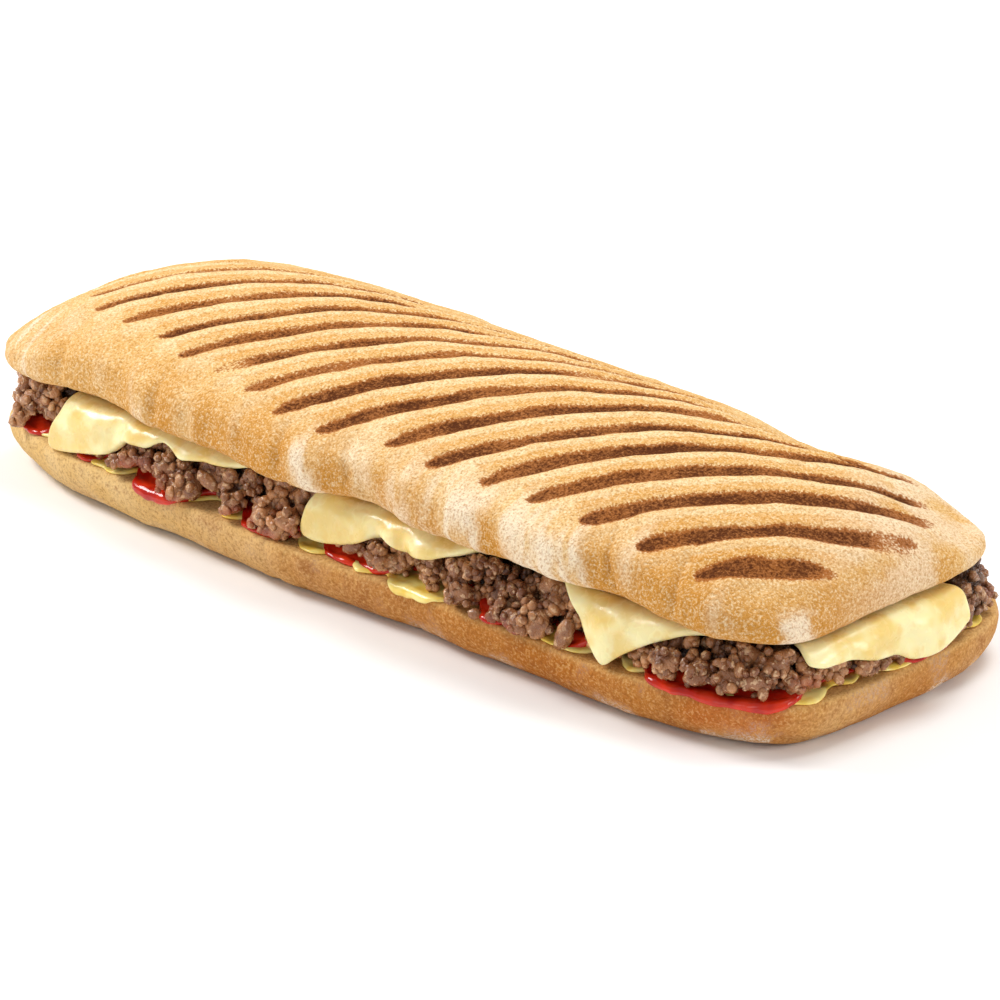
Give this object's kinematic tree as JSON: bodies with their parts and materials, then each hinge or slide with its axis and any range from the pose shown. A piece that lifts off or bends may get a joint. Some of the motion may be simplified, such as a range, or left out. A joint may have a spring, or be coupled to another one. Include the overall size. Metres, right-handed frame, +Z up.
{
  "type": "panini",
  "caption": "Long grilled panini of two flat bread halves with slanted press marks, filled with minced beef, cheese slices, ketchup and mustard.",
  "frame": {"origin": "on the table, under the middle of the whole", "axes": "+X along the sandwich towards its near end, +Z up; the long side that the picture shows faces -Y"},
  "size_m": [0.2618, 0.1034, 0.0499],
  "materials": {
    "crust": "dry golden bread crust with dark press marks, sandy",
    "lower_crust": "dry golden brown bread crust, dusted with flour",
    "mustard_yellow": "wet mustard",
    "ketchup_red": "wet glossy ketchup",
    "cooked_meat": "browned mince, moist",
    "cheese_yellow": "soft processed cheese, half melted"
  },
  "bodies": {
    "root": {"bottom_bread": "lower_crust", "top_bread": "crust", "mustard": "mustard_yellow", "ketchup": "ketchup_red", "minced_beef": "cooked_meat", "cheese_slice_1": "cheese_yellow", "cheese_slice_2": "cheese_yellow", "cheese_slice_3": "cheese_yellow", "cheese_slice_4": "cheese_yellow"}
  },
  "joints": []
}
